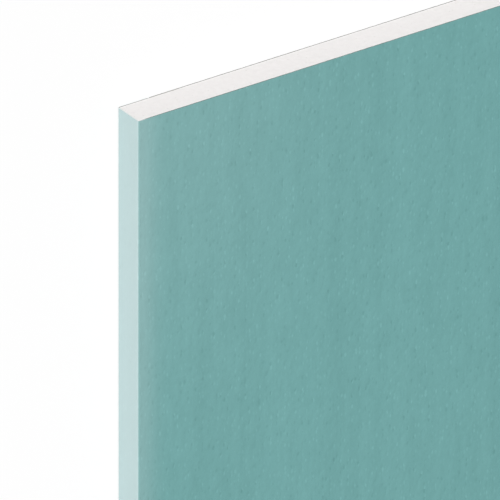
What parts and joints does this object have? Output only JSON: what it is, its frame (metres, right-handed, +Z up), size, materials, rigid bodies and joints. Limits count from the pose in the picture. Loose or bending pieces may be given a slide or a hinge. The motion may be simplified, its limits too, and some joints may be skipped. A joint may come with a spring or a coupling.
{
  "type": "drywall sheet",
  "caption": "Flat square-edge gypsum board: white core bound in teal moisture-resistant face paper and grey back paper, with sawn ends, for lining walls and ceilings.",
  "frame": {"origin": "middle of the underside, on the surface that the sheet lies on", "axes": "+X across the width, +Y along the length, +Z up out of the coloured face"},
  "size_m": [1.2, 2.4, 0.0125],
  "materials": {
    "gypsum": "matte",
    "face_liner": "matte",
    "back_liner": "matte"
  },
  "bodies": {
    "root": {"gypsum_core": "gypsum", "face_paper": "face_liner", "back_paper": "back_liner"}
  },
  "joints": []
}
